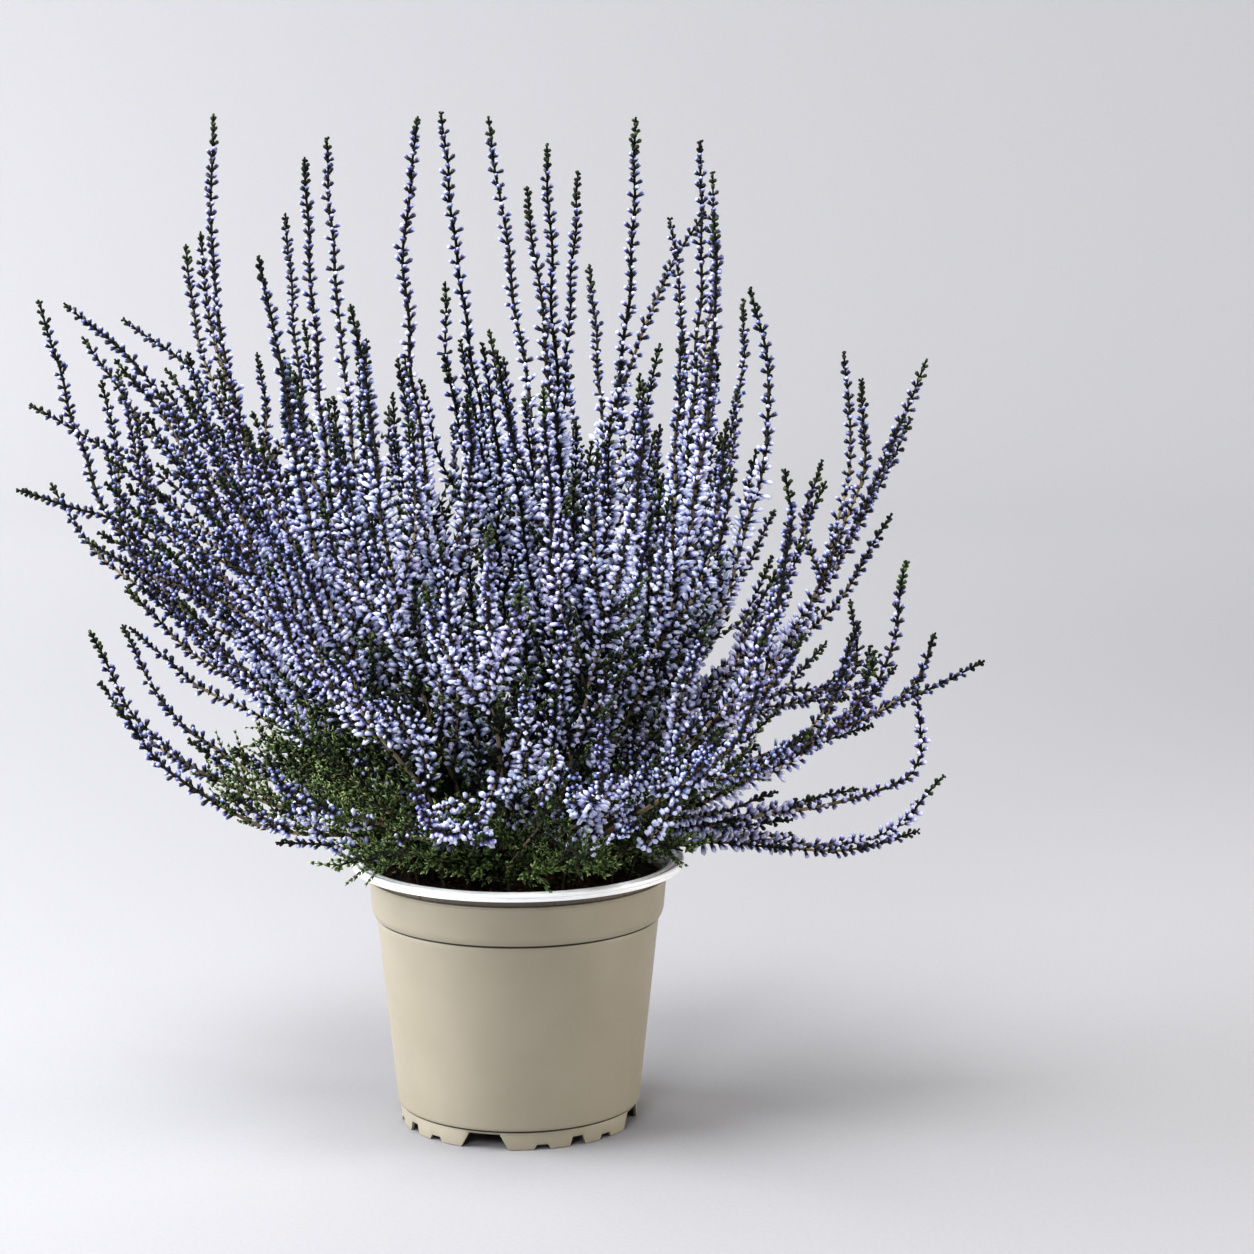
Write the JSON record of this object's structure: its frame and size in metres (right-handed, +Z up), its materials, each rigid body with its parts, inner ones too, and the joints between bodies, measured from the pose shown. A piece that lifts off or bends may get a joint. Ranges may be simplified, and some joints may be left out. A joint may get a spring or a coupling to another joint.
{
  "type": "potted heather",
  "caption": "Heather in flower in a round nursery pot: woody stems fan out of the peat, turn up and end in long spikes of small buds, with low leafy shoots at the rim.",
  "frame": {"origin": "centre of the pot's foot, on the surface it stands on", "axes": "+Z up, -Y towards the front of the plant, +X to its right as seen from the front"},
  "size_m": [0.434, 0.3651, 0.4522],
  "materials": {
    "pot_plastic": "satin moulded polypropylene, taupe outside, white inside and on the rim",
    "peat": "dark crumbly peat",
    "heather_bloom": "matte periwinkle buds with pale tips on grey-brown woody stems, green at the tips",
    "heather_leaf": "matte green scale leaves"
  },
  "bodies": {
    "root": {"pot": "pot_plastic", "potting_soil": "peat", "flowering_stem_01": "heather_bloom", "flowering_stem_02": "heather_bloom", "flowering_stem_03": "heather_bloom", "flowering_stem_04": "heather_bloom", "flowering_stem_05": "heather_bloom", "flowering_stem_06": "heather_bloom", "flowering_stem_07": "heather_bloom", "flowering_stem_08": "heather_bloom", "flowering_stem_09": "heather_bloom", "flowering_stem_10": "heather_bloom", "flowering_stem_11": "heather_bloom", "flowering_stem_12": "heather_bloom", "flowering_stem_13": "heather_bloom", "flowering_stem_14": "heather_bloom", "flowering_stem_15": "heather_bloom", "flowering_stem_16": "heather_bloom", "flowering_stem_17": "heather_bloom", "flowering_stem_18": "heather_bloom", "flowering_stem_19": "heather_bloom", "flowering_stem_20": "heather_bloom", "flowering_stem_21": "heather_bloom", "flowering_stem_22": "heather_bloom", "flowering_stem_23": "heather_bloom", "flowering_stem_24": "heather_bloom", "flowering_stem_25": "heather_bloom", "flowering_stem_26": "heather_bloom", "flowering_stem_27": "heather_bloom", "flowering_stem_28": "heather_bloom", "flowering_stem_29": "heather_bloom", "flowering_stem_30": "heather_bloom", "flowering_stem_31": "heather_bloom", "flowering_stem_32": "heather_bloom", "flowering_stem_33": "heather_bloom", "flowering_stem_34": "heather_bloom", "flowering_stem_35": "heather_bloom", "flowering_stem_36": "heather_bloom", "flowering_stem_37": "heather_bloom", "flowering_stem_38": "heather_bloom", "flowering_stem_39": "heather_bloom", "flowering_stem_40": "heather_bloom", "flowering_stem_41": "heather_bloom", "flowering_stem_42": "heather_bloom", "flowering_stem_43": "heather_bloom", "flowering_stem_44": "heather_bloom", "leafy_shoot_01": "heather_leaf", "leafy_shoot_02": "heather_leaf", "leafy_shoot_03": "heather_leaf", "leafy_shoot_04": "heather_leaf", "leafy_shoot_05": "heather_leaf", "leafy_shoot_06": "heather_leaf", "leafy_shoot_07": "heather_leaf", "leafy_shoot_08": "heather_leaf", "leafy_shoot_09": "heather_leaf", "leafy_shoot_10": "heather_leaf", "leafy_shoot_11": "heather_leaf"}
  },
  "joints": []
}
